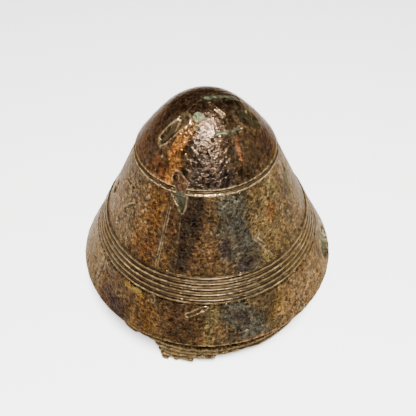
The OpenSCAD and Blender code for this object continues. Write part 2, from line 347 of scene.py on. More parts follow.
def columns(step=0.5, fine=()):
    """Azimuths all the way round, step apart, and closer in each fine (start, end, step) stretch."""
    edges = [-180.0]
    while edges[-1] < 180 - 1e-6:
        here = edges[-1]
        edges.append(here + min([step] + [s for start, end, s in fine if start <= here < end]))
    edges = np.array(edges)
    return -180 + (edges[:-1] + 180) * 360 / (edges[-1] + 180)


def limits(points):
    """Keeps points, in metres, inside the CAD model's box."""
    low, high = (np.array(v) for v in cad_box)
    r = np.linalg.norm(points[:, :2], axis=1)
    points[:, :2] *= np.minimum(1, high[1] / np.maximum(r, 1e-9))[:, None]
    points[:, 2] = np.clip(points[:, 2], low[2], high[2])
    return points


def build(name, points, faces, attributes=None):
    """A smooth-shaded object from points in metres, faces and per-point attributes."""
    mesh = bpy.data.meshes.new(name)
    mesh.from_pydata(points.tolist(), [], faces)
    for key, value in (attributes or {}).items():
        if value.ndim == 1:
            mesh.attributes.new(key, "FLOAT", "POINT").data.foreach_set("value", value.astype(np.float32))
        else:
            colour = np.ones((len(value), 4), np.float32)
            colour[:, :3] = np.clip(value, 0, 1)
            mesh.attributes.new(key, "FLOAT_COLOR", "POINT").data.foreach_set("color", colour.ravel())
    mesh.polygons.foreach_set("use_smooth", [True] * len(mesh.polygons))
    mesh.update()
    piece = bpy.data.objects.new(name, mesh)
    bpy.context.scene.collection.objects.link(piece)
    return piece


def lathe(name, outline, azimuths, wear=None, profile=None, bend=None, centre=(0.0, 0.0)):
    """A closed turned mesh. The outline runs up the outside and back down the inside; if it starts and
    ends on the axis it closes to a point there. bend(azimuth, r, z) reshapes the rows before they are
    worn, and wear(surface) fills in the offsets, masks and colours."""
    outline = np.array(outline, float)
    poles = outline[0][0] < 1e-6
    tangent = np.roll(outline, -1, axis=0) - np.roll(outline, 1, axis=0)
    if poles:
        tangent[0], tangent[-1] = outline[1] - outline[0], outline[-1] - outline[-2]
    tangent /= np.maximum(np.linalg.norm(tangent, axis=1), 1e-9)[:, None]
    rows, count = len(outline), len(azimuths)
    azimuth = np.tile(azimuths, rows)
    r, z = (np.repeat(outline[:, i], count) for i in (0, 1))
    if bend is not None:
        r, z = bend(azimuth, r, z)
    normal_r, normal_z = np.repeat(tangent[:, 1], count), np.repeat(-tangent[:, 0], count)
    surface = Surface(azimuth, r, z, normal_r, normal_z, profile)
    if wear is not None:
        wear(surface)
    r = r + surface.offset * surface.normal_r
    z = z + surface.offset * surface.normal_z
    points = limits((place(azimuth, r, z) + (*centre, 0)) * MM)

    i, j = np.meshgrid(np.arange(rows - 1 if poles else rows), np.arange(count), indexing="ij")
    up, right = (i + 1) % rows, (j + 1) % count
    quads = np.stack([i * count + j, i * count + right, up * count + right, up * count + j], -1)
    quads = quads.reshape(-1, 4)
    keep = np.ones(rows * count, bool)
    if poles:
        last = (rows - 1) * count
        keep[1:count] = keep[last + 1:] = False
        index = np.cumsum(keep) - 1
        index[:count], index[last:] = index[0], index[last]
        first_row, last_row = quads[:count][:, [0, 2, 3]], quads[-count:][:, [0, 1, 2]]
        faces = index[first_row].tolist() + index[quads[count:-count]].tolist() + index[last_row].tolist()
    else:
        faces = quads.tolist()
    attributes = {key: value[keep] for key, value in surface.masks.items()}
    attributes["PatinaAndPaintedLight"] = surface.colour[keep]
    return build(name, points[keep], faces, attributes)


def finish_piece(piece, material, body, slot, *nodes):
    piece.data.materials.clear()
    piece.data.materials.append(material)
    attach(piece, body)
    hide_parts(*nodes)
    return piece


# Materials -----------------------------------------------------------------------------------

GRIME_AND_SHADE = (0.012, 0.008, 0.004, 1)
VERDIGRIS, PALE_VERDIGRIS = (0.035, 0.042, 0.022, 1), (0.12, 0.14, 0.085, 1)
BARE_METAL_AND_GLINT = (0.42, 0.3, 0.15, 1)
EDGE_TINT = (0.5, 0.42, 0.34, 1)        # keeps metal seen at a shallow angle brown
DUST, GRAIN, VEIN, CREASE, BLOTCH, PITS = 0.0005, 0.0014, 0.002, 0.0024, 0.006, 0.0018


def brass(name, colour=None, rough=0.3, metal=0.95, speck=1.0, relief=1.0, streaks=0.0):
    """Worn brass. It takes its colour from the piece's PatinaAndPaintedLight attribute unless a colour is
    given, and its verdigris, grime and rubbed metal from the Green, Dark and BareAndGlint attributes, where
    Dark also carries painted shadow and BareAndGlint painted highlight. The sizes above are in metres."""
    material = bpy.data.materials.new(name)
    material.use_nodes = True
    nodes, links = material.node_tree.nodes, material.node_tree.links
    shader = nodes["Principled BSDF"]
    where = nodes.new("ShaderNodeTexCoord").outputs["Object"]

    def put(kind, inputs=None, **settings):
        node = nodes.new(kind)
        for key, value in settings.items():
            setattr(node, key, value)
        for key, value in (inputs or {}).items():
            if isinstance(value, bpy.types.NodeSocket):
                links.new(value, node.inputs[key])
            else:
                node.inputs[key].default_value = value
        return node

    def noise(size, detail=3.0, rough=0.6, vector=where):
        inputs = {"Vector": vector, "Scale": 1 / size, "Detail": detail, "Roughness": rough}
        return put("ShaderNodeTexNoise", inputs).outputs["Fac"]

    def math_node(operation, a, b=0.0, clamp=False):
        return put("ShaderNodeMath", {0: a, 1: b}, operation=operation, use_clamp=clamp).outputs[0]

    def spread(value, low, high, to_low=0.0, to_high=1.0):
        return put("ShaderNodeMapRange", {"Value": value, "From Min": low, "From Max": high,
                                          "To Min": to_low, "To Max": to_high}).outputs[0]

    def mix(factor, a, b, blend="MIX"):
        node = put("ShaderNodeMix", {0: factor, 6: a, 7: b}, data_type="RGBA", blend_type=blend)
        return node.outputs[2]

    def attribute(key):
        return put("ShaderNodeAttribute", attribute_name=key).outputs["Fac"]

    if colour is None:
        base = put("ShaderNodeAttribute", attribute_name="PatinaAndPaintedLight").outputs["Color"]
    else:
        base = put("ShaderNodeRGB").outputs[0]
        base.default_value = (*colour, 1)

    def lines(size, width, vector=where):
        """Thin wandering lines, where a noise crosses its middle value."""
        middle = math_node("SUBTRACT", noise(size, 2, 0.5, vector), 0.5)
        return spread(math_node("ABSOLUTE", middle), width, 0.0)

    squash = put("ShaderNodeMapping", {"Vector": where, "Scale": (1, 1, 0.4)}).outputs[0]
    moved = put("ShaderNodeMapping", {"Vector": where, "Location": (0.31, 0.17, 0.23)}).outputs[0]
    grain = noise(GRAIN, 3, 0.6)
    blotch = noise(BLOTCH, 5, 0.7, squash)
    dust = noise(DUST, 2, 0.6)
    crease = lines(CREASE, 0.045)
    ridge = lines(VEIN, 0.04, moved)
    cells = put("ShaderNodeTexVoronoi", {"Vector": where, "Scale": 1 / PITS, "Randomness": 1.0})
    pit = math_node("MULTIPLY", spread(cells.outputs["Distance"], 0.38, 0.12), spread(blotch, 0.42, 0.6))

    # Colour: blotches and grain, then dark pits, grime and painted shadow, verdigris, and bare metal and
    # painted highlight on the high spots
    tone = spread(grain, 0.38, 0.62, 1 - 0.72 * speck, 1 + 0.85 * speck)
    tone = math_node("MULTIPLY", tone, spread(blotch, 0.32, 0.68, 1 - 0.45 * speck, 1 + 0.5 * speck))
    tone = math_node("MULTIPLY", tone, spread(dust, 0.35, 0.65, 1 - 0.45 * speck, 1 + 0.5 * speck))
    tone = math_node("MULTIPLY", tone, spread(ridge, 0.0, 1.0, 1.0, 1 + 1.1 * speck))
    shade = put("ShaderNodeCombineColor", {0: tone, 1: tone, 2: tone}).outputs[0]
    base = mix(1.0, base, shade, "MULTIPLY")
    dark = math_node("MAXIMUM", attribute("Dark"), math_node("MULTIPLY", pit, 0.75 * speck))
    dark = math_node("MAXIMUM", dark, math_node("MULTIPLY", crease, 0.6 * speck))
    base = mix(math_node("MULTIPLY", dark, 0.85), base, GRIME_AND_SHADE)
    crust = spread(noise(0.0022, 4), 0.35, 0.6, 0.35, 1.0)
    green = math_node("MULTIPLY", attribute("Green"), crust, clamp=True)
    verdigris = mix(spread(noise(0.0016, 3), 0.4, 0.6), VERDIGRIS, PALE_VERDIGRIS)
    base = mix(green, base, verdigris)
    edge = spread(put("ShaderNodeNewGeometry").outputs["Pointiness"], 0.505, 0.56)
    bare = math_node("MAXIMUM", attribute("BareAndGlint"), math_node("MULTIPLY", edge, 0.5), clamp=True)
    bare = math_node("MULTIPLY", bare, spread(grain, 0.4, 0.58, 0.15, 0.9))
    base = mix(bare, base, BARE_METAL_AND_GLINT)
    links.new(base, shader.inputs["Base Color"])

    # Finish: rougher and less metallic where it is corroded, smoother where it is rubbed
    finish = spread(blotch, 0.3, 0.7, rough - 0.08, rough + 0.12)
    finish = math_node("ADD", finish, math_node("MULTIPLY", green, 0.25))
    finish = math_node("ADD", finish, math_node("MULTIPLY", dark, 0.2))
    finish = math_node("SUBTRACT", finish, math_node("MULTIPLY", bare, 0.12), clamp=True)
    links.new(finish, shader.inputs["Roughness"])
    covered = math_node("MAXIMUM", green, math_node("MULTIPLY", dark, 0.6))
    metallic = math_node("SUBTRACT", metal, math_node("MULTIPLY", covered, 0.6 * metal))
    links.new(metallic, shader.inputs["Metallic"])

    # Relief
    height = math_node("SUBTRACT", math_node("MULTIPLY", grain, 0.8), math_node("MULTIPLY", crease, 0.16))
    height = math_node("ADD", height, math_node("MULTIPLY", ridge, 0.14))
    height = math_node("ADD", height, math_node("MULTIPLY", blotch, 0.5))
    height = math_node("ADD", height, math_node("MULTIPLY", dust, 0.15))
    height = math_node("SUBTRACT", height, math_node("MULTIPLY", pit, 0.35))
    if streaks:
        turned = put("ShaderNodeMapping", {"Vector": where, "Scale": (0.06, 0.06, 1)}).outputs[0]
        height = math_node("ADD", height, math_node("MULTIPLY", noise(0.0005, 2, 0.5, turned), streaks))
    bump = put("ShaderNodeBump", {
        "Strength": min(1.0, 0.9 * relief), "Distance": 0.0012 * relief, "Height": height})
    links.new(bump.outputs[0], shader.inputs["Normal"])
    shader.inputs["Specular Tint"].default_value = EDGE_TINT
    return material


# Cover ---------------------------------------------------------------------------------------

NOTCH_COLUMNS = columns(0.5, [(-30, -12, 0.18)])        # closer together at the notch

# The colour round the cone, from (azimuth, colour) stops: patina, with painted reflection in the lighter
# stops near -75 and 78, at the sides seen edge-on, and partly painted shade in the darker stops at the front
CONE_GROUND = [
    (-180, patina(120, 95, 66)), (-100, patina(130, 108, 82)), (-75, patina(141, 119, 98)),
    (-55, patina(130, 109, 82)), (-42, patina(124, 96, 66)), (-20, patina(104, 76, 46)),
    (-2, patina(98, 74, 46)), (10, patina(110, 86, 56)), (24, patina(112, 92, 62)),
    (50, patina(138, 112, 75)), (66, patina(130, 106, 78)), (78, patina(146, 127, 106)),
    (100, patina(130, 108, 82)), (180, patina(120, 95, 66))]

# Patches: path as (azimuth, height), half width, colour
CONE_PATCHES = [
    ([(-36, 88), (-36, 80), (-41, 72), (-40, 63), (-37, 60)], 6.0, patina(130, 90, 50)),
    ([(-34, 84), (-34, 77)], 2.6, patina(142, 96, 48)),
    ([(-33, 69), (-35, 64)], 3.0, patina(112, 72, 40)),
    ([(-24, 81), (-22, 73)], 2.6, patina(96, 64, 38)),
    ([(-26, 60), (-21, 64)], 3.2, patina(126, 92, 52)),
    # partly patina, partly painted shade: the dark strip down the front
    ([(-9, 88), (-12, 78), (-12, 70), (-15, 63)], 4.3, patina(44, 32, 24)),
    ([(-5, 87), (-6, 81), (-8, 74)], 3.0, patina(56, 42, 30)),
    ([(3, 72), (3, 62)], 2.6, patina(116, 84, 50)),
    ([(18, 85), (15, 77), (19, 69), (23, 61)], 7.0, patina(94, 88, 70)),
    ([(18, 77), (23, 70)], 4.0, patina(84, 80, 68)),
    ([(11, 69), (11, 71)], 2.8, patina(62, 50, 46)),
    ([(19, 61), (23, 62)], 3.4, patina(66, 54, 52)),
    ([(40, 84), (37, 73), (47, 65), (49, 58)], 6.5, patina(142, 116, 74)),
    ([(50, 87), (60, 81)], 2.6, patina(156, 132, 84)),
    ([(46, 78), (44, 76)], 2.6, patina(146, 96, 54)),
    ([(76, 82), (70, 76)], 3.2, patina(84, 84, 64)),
    ([(34, 62), (38, 58)], 2.0, patina(176, 148, 88)),
]

# Colour round the skirt: patina, with painted reflection in the lighter stop near -80, at the side seen
# edge-on, and partly painted shade in the darker stops at the front
SKIRT_GROUND = [
    (-180, patina(120, 95, 66)), (-80, patina(147, 127, 100)), (-58, patina(120, 98, 72)),
    (-45, patina(106, 84, 60)), (-30, patina(119, 89, 52)), (-14, patina(92, 68, 42)),
    (-4, patina(90, 66, 40)), (5, patina(108, 84, 54)), (14, patina(100, 84, 60)),
    (30, patina(112, 92, 62)), (42, patina(146, 114, 76)), (60, patina(143, 115, 82)),
    (80, patina(130, 112, 84)), (180, patina(120, 95, 66))]

SKIRT_PATCHES = [
    ([(-51, 34), (-43, 34)], 5.5, patina(78, 60, 48)),
    ([(-42, 46), (-32, 45.5)], 1.6, patina(170, 134, 66)),
    ([(-30, 43), (-27, 36)], 4.5, patina(132, 92, 46)),
    ([(-14, 45), (-13, 35)], 6.0, patina(88, 62, 38)),
    ([(3, 46.5), (1, 39), (0, 31)], 3.0, patina(134, 112, 68)),
    ([(13, 43), (20, 37), (21, 33)], 7.0, patina(92, 88, 72)),
    ([(15, 42), (16, 39)], 3.0, patina(64, 54, 52)),
    ([(35, 45), (34, 38)], 3.4, patina(164, 126, 72)),
    ([(15, 30.5), (29, 30.5)], 1.2, patina(156, 108, 80)),
]

# Gouges, scratches and pits: path as (azimuth, height), half width, depth, lip, and how green its bed
# is, how bare its lip and how dark its bed
CONE_MARKS = [
    ([(-26, 84), (-27, 72), (-28, 60)], 0.42, 0.22, 0.14, 0.3, 0.5, 0.4),
    ([(-72, 81), (-60, 82)], 0.8, 0.4, 0.15, 0.0, 0.6, 0.6),
    ([(-62, 72), (-58, 75), (-54, 77)], 0.7, 0.4, 0.15, 0.0, 0.5, 0.5),
    ([(-52, 65), (-55, 58)], 0.6, 0.3, 0.12, 0.0, 0.5, 0.5),
    ([(33, 72), (30, 70), (34, 66)], 0.6, 0.4, 0.15, 0.0, 0.6, 0.6),
    ([(35, 63), (38, 59)], 0.5, 0.3, 0.12, 0.0, 0.5, 0.4),
    ([(56, 75), (51, 68)], 0.5, 0.25, 0.12, 0.0, 0.6, 0.2),
    ([(59, 72), (61, 64)], 0.5, 0.25, 0.12, 0.0, 0.5, 0.2),
    ([(-65, 63)], 1.2, 0.8, 0.1, 0.0, 0.3, 0.9),
    ([(-87, 67.5), (-87, 70.5)], 2.6, 1.4, 0.1, 0.0, 0.3, 1.0),
]

SKIRT_MARKS = [
    ([(-62, 46.5), (-61, 42), (-61, 36.5)], 1.2, 1.0, 0.2, 0.0, 0.5, 1.0),
    ([(-61, 46.5), (-56, 45)], 0.6, 0.5, 0.15, 0.0, 0.4, 0.8),
    ([(-1, 46.5), (-9, 43)], 0.8, 0.4, 0.15, 0.0, 0.5, 0.5),
    ([(44, 40), (46, 31.5)], 0.5, 0.3, 0.15, 0.0, 0.6, 0.3),
    ([(-27, 46)], 1.4, 0.8, 0.1, 0.0, 0.3, 0.9),
    ([(-45, 40)], 1.3, 0.6, 0.1, 0.0, 0.3, 0.8),
]
RECESS = ([(78.5, 36), (87.5, 36)], 5.2, 2.4, 0.1, 0.8, 0.3, 0.85)


def on_cone(z):
    return cone_r(z), z


def on_skirt(z):
    return skirt_r(z), z


def sink_notch(surface, depth):
    """The V-shaped locating notch, its sides steep and its bed green."""
    u = surface.r * np.sin(np.radians(surface.azimuth - NOTCH_AZ))
    left, right = (np.interp(surface.z, *zip(*side)) for side in (NOTCH_LEFT, NOTCH_RIGHT))
    here = (np.abs(surface.azimuth - NOTCH_AZ) < 20) * surface.outside()
    within = np.minimum(u - left, right - u)
    inside = here * smooth(-0.15, 0.3, within)
    surface.offset -= inside * depth
    surface.mark("Green", 0.2 * inside)
    surface.mark("Dark", 0.7 * inside)
    edge = here * np.exp(-((within + 0.3) / 0.28) ** 2) * (surface.z > NOTCH_FOOT[0] + 0.2)
    surface.mark("BareAndGlint", 0.8 * edge)


def wear_and_paint_light_cone(surface):
    surface.ground(CONE_GROUND)
    surface.stains(CONE_PATCHES)
    surface.shade(0.38)
    surface.mottle(0.34)
    surface.weather()
    surface.grooves(CONE_MARKS)
    sink_notch(surface, CONE_NOTCH_DEPTH)


def wear_and_paint_light_skirt(surface):
    surface.ground(SKIRT_GROUND)
    surface.stains(SKIRT_PATCHES)
    surface.shade(0.38)
    surface.mottle(0.34)
    surface.weather()
    surface.grooves(SKIRT_MARKS)
    surface.groove(*RECESS, flat=0.75)


mid_r = cone_r(SPLIT_Z)
band_top_r, ring_r = cone_r(BAND_TOP_Z), cone_r(RING_Z)
bore_top_z = RIM_Z - (BORE_R + COVER_WALL - RIM_R) / CONE_TAPER
mid_bore_r = np.interp(SPLIT_Z, [bore_top_z, RING_Z], [BORE_R, COLLAR_R + PRESS_GAP])
cone_outline = trace([
    (mid_r - BAND_SEAT, SPLIT_Z), (band_top_r - BAND_SEAT, BAND_TOP_Z), (band_top_r, BAND_TOP_Z),
    (ring_r, RING_Z), (COLLAR_R + PRESS_GAP, RING_Z), (mid_bore_r, SPLIT_Z)],
    [3, 0.4, 0.36, 0.6, 4, 1], soft=0.08)
cone = lathe("cover_cone_upper", cone_outline, NOTCH_COLUMNS, wear_and_paint_light_cone, on_cone)

skirt_outline = trace([
    (BORE_R, SEAT_Z), (SKIRT_R - 4.5, SEAT_Z), (SKIRT_R - 3.5, UNDERLIP_Z + 0.3), (SKIRT_R - 1.8, UNDERLIP_Z),
    (SKIRT_R, SKIRT_Z), (SKIRT_TOP_R, SKIRT_TOP_Z), (SKIRT_TOP_R, BAND_Z),
    (cone_r(BAND_Z) - BAND_SEAT, BAND_Z), (mid_r - BAND_SEAT, SPLIT_Z),
    (mid_bore_r, SPLIT_Z), (BORE_R, bore_top_z)],
    [1.5, 0.5, 0.4, 0.35, 0.36, 0.3, 0.3, 3, 1, 3, 3], soft=0.45)
skirt = lathe("cover_cone_skirt", skirt_outline, columns(0.5), wear_and_paint_light_skirt, on_skirt)


def wear_and_paint_light_band(surface):
    surface.ground([(azimuth, 0.9 * colour) for azimuth, colour in CONE_GROUND])
    surface.shade(0.2)
    surface.mottle(0.25)
    surface.weather(dents=0.1, grain=0.08, pits=0.12, pit_size=2.0)
    across = np.abs(((surface.z - BAND_Z) / BAND_PITCH) % 1 - 0.5) * 2
    rubbed = smooth(-0.2, 0.4, WEAR.layers(surface.points, 6, 3))
    surface.mark("Dark", smooth(0.76, 0.96, across) * surface.outside())
    # bead crests: partly rubbed metal, partly painted highlight
    surface.mark("BareAndGlint", 0.5 * (1 - smooth(0.1, 0.6, across)) * rubbed)


lean = math.atan(CONE_TAPER)
band_outline = [(band_top_r - BAND_SEAT, BAND_TOP_Z), (cone_r(BAND_Z) - BAND_SEAT, BAND_Z),
                (cone_r(BAND_Z), BAND_Z)]
for bead in range(BAND_BEADS):
    middle = BAND_Z + (bead + 0.5) * BAND_PITCH
    for turn in np.linspace(0, math.pi, 9):
        along, up = -0.47 * BAND_PITCH * math.cos(turn), BEAD_H * math.sin(turn)
        band_outline.append((cone_r(middle) - CONE_TAPER * along + up * math.cos(lean),
                             middle + along + up * math.sin(lean)))
band_outline.append((band_top_r, BAND_TOP_Z))
band_outline = trace(band_outline, [3, 1, 0.4] + [0.5] * 46, soft=0.05)
band = lathe("ridged_band_worn", band_outline, columns(0.5), wear_and_paint_light_band, on_cone)

# The mouth ring's two beads: radius, height, half width, how far they stand up, lean in degrees
OUTER_BEAD = (ring_r - 0.35, RING_Z + 0.35, 0.5, 0.5, 45)
INNER_BEAD = (COLLAR_R + 0.7, RIM_Z - 0.3, 0.5, 0.3, 0)


def wear_and_paint_light_rim(surface):
    surface.ground(CONE_GROUND)
    surface.mottle(0.25)
    surface.weather(dents=0.08, grain=0.08, pits=0.12, pit_size=1.8)
    valley_r = INNER_BEAD[0] + INNER_BEAD[2]
    surface.mark("Dark", np.exp(-((surface.r - valley_r) / 0.2) ** 2) * (surface.z > RIM_Z - 1))
    # the outer bead's light stripe: partly rubbed metal, partly painted highlight
    surface.mark("BareAndGlint", 0.9 * np.exp(-((surface.r - OUTER_BEAD[0] - 0.35) / 0.3) ** 2))
    sink_notch(surface, RIM_NOTCH_DEPTH)


def bead_points(r, z, half, high, lean):
    """A half-ellipse of points, from the bead's outer side to its inner side."""
    lean = math.radians(lean)
    turns = [(half * math.cos(a), high * math.sin(a)) for a in np.linspace(0, math.pi, 9)]
    return [(r + a * math.cos(lean) + b * math.sin(lean), z - a * math.sin(lean) + b * math.cos(lean))
            for a, b in turns]


rim_outline = trace(
    [(COLLAR_R, RING_Z), (ring_r, RING_Z)] + bead_points(*OUTER_BEAD) + bead_points(*INNER_BEAD)
    + [(COLLAR_R, INNER_BEAD[1])], [0.6, 0.35] + [0.2] * 18 + [0.6], soft=0.03)
rim = lathe("mouth_ring_worn", rim_outline, NOTCH_COLUMNS, wear_and_paint_light_rim, on_cone)

# Lid -----------------------------------------------------------------------------------------

DOME_GROUND = [
    (-180, patina(96, 70, 50)), (-90, patina(98, 72, 50)), (-60, patina(100, 74, 52)),
    (-44, patina(104, 74, 48)), (-20, patina(104, 78, 54)), (-12, patina(94, 76, 60)),
    (12, patina(104, 84, 68)), (26, patina(106, 82, 60)), (48, patina(96, 72, 48)),
    (75, patina(92, 70, 48)), (100, patina(84, 62, 44)), (180, patina(80, 58, 40))]

# Patches on the dome: path as (azimuth, radius), half width, colour
DOME_PATCHES = [
    ([(0, 0)], 11.0, patina(96, 70, 50)),
    ([(-27, 14.5), (-31, 18.5), (-33, 22.5), (-29, 25), (-31, 28.5)], 2.6, patina(255, 164, 84)),
    ([(-46, 26), (-40, 28.5)], 3.0, patina(136, 84, 52)),
    ([(37, 19.5), (33, 24)], 0.8, patina(190, 124, 76)),
    # painted shade: a darker patch low on the front, which keeps the highlight above it small
    ([(0, 22), (6, 28)], 6.5, patina(72, 58, 48)),
    ([(76, 17), (82, 20)], 4.0, patina(84, 76, 46)),
    ([(-18, 12), (-24, 14.5)], 3.0, patina(104, 72, 46)),
]

# Marks on the dome: path as (azimuth, radius), then as on the cone
DOME_MARKS = [
    ([(-53, 20.5), (-48, 17), (-40, 13)], 2.2, 0.5, 0.3, 0.1, 0.8, 0.55),
    ([(15, 16), (32, 16.5), (50, 17)], 0.85, 0.4, 0.25, 0.8, 0.5, 0.0),
    ([(14, 1.5), (92, 5.5), (108, 13)], 1.7, 0.15, 0.12, 0.8, 0.3, 0.0),
    ([(19, 4.5), (30, 8), (39, 11)], 0.4, 0.12, 0.2, 0.0, 0.4, 0.2),
    ([(8, 17.5)], 0.9, 0.7, 0.1, 0.0, 0.2, 1.0),
    ([(-24, 27.5)], 1.6, 0.5, 0.15, 0.0, 0.6, 0.9),
    ([(72, 15), (80, 19)], 3.6, 0.5, 0.1, 0.08, 0.2, 0.4),
]


def on_dome(r):
    return r, dome_z(r)


def wear_and_paint_light_dome(surface):
    surface.ground(DOME_GROUND)
    surface.stains(DOME_PATCHES)
    surface.mottle(0.3)
    surface.weather(dents=0.18, grain=0.05, pits=0.12)
    surface.grooves(DOME_MARKS)


outer = [dome_point(t) for t in np.linspace(0, 1, 118)]
inner = [dome_point(t, -DOME_WALL) for t in np.linspace(1, 0, 14)]
dome_outline = inner[:-1] + [(DOME_R - DOME_WALL, DOME_Z), (DOME_R - 0.15, DOME_Z)] + outer[1:]
dome_outline[0], dome_outline[-1] = (0.0, dome_outline[0][1]), (0.0, APEX_Z)
dome = lathe("lid_dome_worn", dome_outline, columns(0.55, [(-60, 40, 0.45)]), wear_and_paint_light_dome, on_dome)

# Foot ----------------------------------------------------------------------------------------

RING_POINTS = [(0.0, FOOT_VALLEY_R), (FOOT_RING_Z, FOOT_VALLEY_R)]
for ring in range(FOOT_RINGS):
    start = FOOT_RING_Z + FOOT_RING_PITCH * ring
    RING_POINTS += [(start + 0.9, FOOT_CREST_R), (start + 2.2, FOOT_CREST_R), (start + 3.1, FOOT_VALLEY_R)]
RING_POINTS.append((FOOT_RINGS_TOP, FOOT_NECK_R))
RING_HEIGHTS, RING_RADII = np.array(RING_POINTS).T

# The foot's broken lower edge, either side of its tooth: distance across from the middle, and how high
# the metal is gone
BREAK_LEFT = [(-49, 0), (-48, 11.5), (-41, 11), (-36, 10.5), (-31.5, 12.5), (-27, 15), (-23.5, 12),
              (-22, 6), (-21.5, 1.5), (-21, 0)]
BREAK_RIGHT = [(-19.5, 0), (-18.5, 1.5), (-17, 3), (-16, 2), (-10.5, 3), (-7.5, 3), (-6.5, 6), (1, 7.5),
               (3, 8), (4.5, 10.5), (7, 11), (15.5, 12), (25, 10), (35, 9.5), (47, 10.5), (48, 0)]
BREAK_X, BREAK_H = np.array(BREAK_LEFT + BREAK_RIGHT, float).T


def bend_foot(azimuth, r, z):
    """Lifts the foot's lower edge to the break, and keeps the rings level above it."""
    a = np.radians(azimuth)
    h = np.where(np.cos(a) > 0, np.interp(r * np.sin(a), BREAK_X, BREAK_H), 0)
    ragged = WEAR.layers(place(azimuth, r, 0 * z), 2.5, 3)
    h = np.clip(h + 0.7 * ragged * smooth(0.2, 2, h), 0, 16)
    inside = r < UNDER_R + 0.4
    top = np.where(inside, FLOOR_Z, FOOT_RINGS_TOP)
    raised = np.where(z < top, h + (top - h) * z / top, z)
    ringed = np.where(inside | (z >= FOOT_RINGS_TOP), r, np.interp(raised, RING_HEIGHTS, RING_RADII))
    edge = (z < 0.3) & ~inside
    return np.where(edge, np.minimum(r, ringed), ringed), raised


def wear_and_paint_light_foot(surface):
    surface.ground([(-180, patina(120, 95, 66)), (-60, patina(120, 100, 66)), (-20, patina(140, 112, 66)),
                    (20, patina(150, 120, 76)), (60, patina(140, 112, 74)), (180, patina(120, 95, 66))])
    surface.colour *= 0.36
    surface.mottle(0.35)
    surface.weather(dents=0.2, grain=0.14, pits=0.35, pit_size=2.6)
    # painted shadow: darker in the neck above the rings, under the skirt's lip
    shadowed = smooth(FOOT_RINGS_TOP, FOOT_RINGS_TOP + 3, surface.z) * (surface.r > 50)
    surface.mark("Dark", 0.9 * shadowed)


foot_outline = trace(
    [(FOOT_VALLEY_R, 0), (FOOT_VALLEY_R, 2), (FOOT_VALLEY_R, FOOT_RINGS_TOP - 0.6),
     (FOOT_NECK_R, FOOT_RINGS_TOP), (FOOT_NECK_R, SEAT_Z), (SPIGOT_R, SEAT_Z), (SPIGOT_R, FOOT_TOP),
     (CHAMBER_R, FOOT_TOP), (CHAMBER_R, FLOOR_Z), (UNDER_R, FLOOR_Z), (UNDER_R, 0)],
    [0.4, 0.36, 0.6, 1.2, 1, 2, 1, 3, 2, 1.5, 0.6], soft=0.2)
foot_columns = columns(0.5, [(-28, -17, 0.25)])
foot = lathe("base_foot_worn", foot_outline, foot_columns, wear_and_paint_light_foot, bend=bend_foot)


def wear_turned(surface):
    surface.mottle(0.15)
    surface.offset += 0.02 * WEAR.layers(surface.points, 6, 2)


def turned(name, corners, step, azimuth_step, closed=True, centre=(0.0, 0.0), wear=wear_turned, soft=0.25):
    return lathe(name, trace(corners, step, closed, soft), columns(azimuth_step), wear, centre=centre)


def ring_groove(start, end, z, depth, slope):
    """The corners of a shallow ring groove in a flat face at height z, from one radius to another."""
    slope = math.copysign(slope, end - start)
    return [(start, z), (start + slope, z + depth), (end - slope, z + depth), (end, z)]


floor_r, under_z = FLOOR_HIGH[0], FLOOR_LOW[2]
floor_outline = [(0, under_z)]
floor_outline += ring_groove(8, 10.2, under_z, 0.5, 0.6) + ring_groove(38, 40.2, under_z, 0.5, 0.6)
floor_outline += [(floor_r, under_z), (floor_r, FLOOR_Z), (0, FLOOR_Z)]
floor_plate = turned("base_floor_turned", floor_outline, 1.2, 1.5, closed=False)
collar = turned("mouth_collar_turned", [
    (COLLAR_R, COLLAR_LOW[2]), (COLLAR_R, RIM_Z), (COLLAR_BORE_R, RIM_Z), (COLLAR_BORE_R, COLLAR_LOW[2])],
    0.8, 1.5, wear=None)
neck = turned("lid_neck_turned", [
    (NECK_BORE_R, NECK_LOW[2]), (NECK_R, NECK_LOW[2]), (NECK_R, RIM_Z), (NECK_HIGH[0], RIM_Z),
    (NECK_HIGH[0], DOME_Z), (NECK_BORE_R, DOME_Z)], 0.8, 1.5, wear=None)

# Contents ------------------------------------------------------------------------------------

BOWL_R, BOWL_H = BOWL_HIGH[0], BOWL_HIGH[2] - BOWL_LOW[2]
BOWL_CORNER, BOWL_RIM, BOWL_WALL = 3.4, 0.5, 0.8
PEG_R, PEG_HEAD_R = 1.4, 2.4
KNOB_FOOT_R, KNOB_STEM_R, KNOB_STEM_H, KNOB_BALL_R = 4, 2.2, 3.4, 2.4


def arc(r, z, radius, start, end):
    """Points on an arc about (r, z), its angles in degrees."""
    angles = np.radians(np.linspace(start, end, 7))
    return [(r + radius * math.cos(a), z + radius * math.sin(a)) for a in angles]


def wear_bowl(surface):
    surface.mottle(0.15)
    outer_side = surface.outside() * (surface.z < FLOOR_Z + BOWL_H - 1.6)
    surface.offset -= 0.12 * outer_side * WEAR.pits(surface.points, 3.4, 1.0)


bowl_wall_r = BOWL_R - BOWL_RIM
corner_r = bowl_wall_r - BOWL_CORNER
bowl_outline = [(0, 0)] + arc(corner_r, BOWL_CORNER, BOWL_CORNER, -90, 0) + [
    (bowl_wall_r, BOWL_H - 1.0), (BOWL_R, BOWL_H - 0.7), (BOWL_R, BOWL_H - 0.2), (BOWL_R - 0.2, BOWL_H),
    (bowl_wall_r - BOWL_WALL, BOWL_H)]
bowl_outline += arc(corner_r, BOWL_CORNER, BOWL_CORNER - BOWL_WALL, 0, -90) + [(0, BOWL_WALL)]
bowl_outline = [(r, z + FLOOR_Z) for r, z in bowl_outline]
bowls = []
for number in range(7):
    node = "bowl_centre" if number == 0 else f"bowl_{number}"
    low, high = mm_box(node)
    centre = ((low[0] + high[0]) / 2, (low[1] + high[1]) / 2)
    bowl = turned(f"{node}_spun", bowl_outline, 0.9, 4, closed=False, centre=centre, wear=wear_bowl, soft=0.1)
    bowls.append((node, bowl))

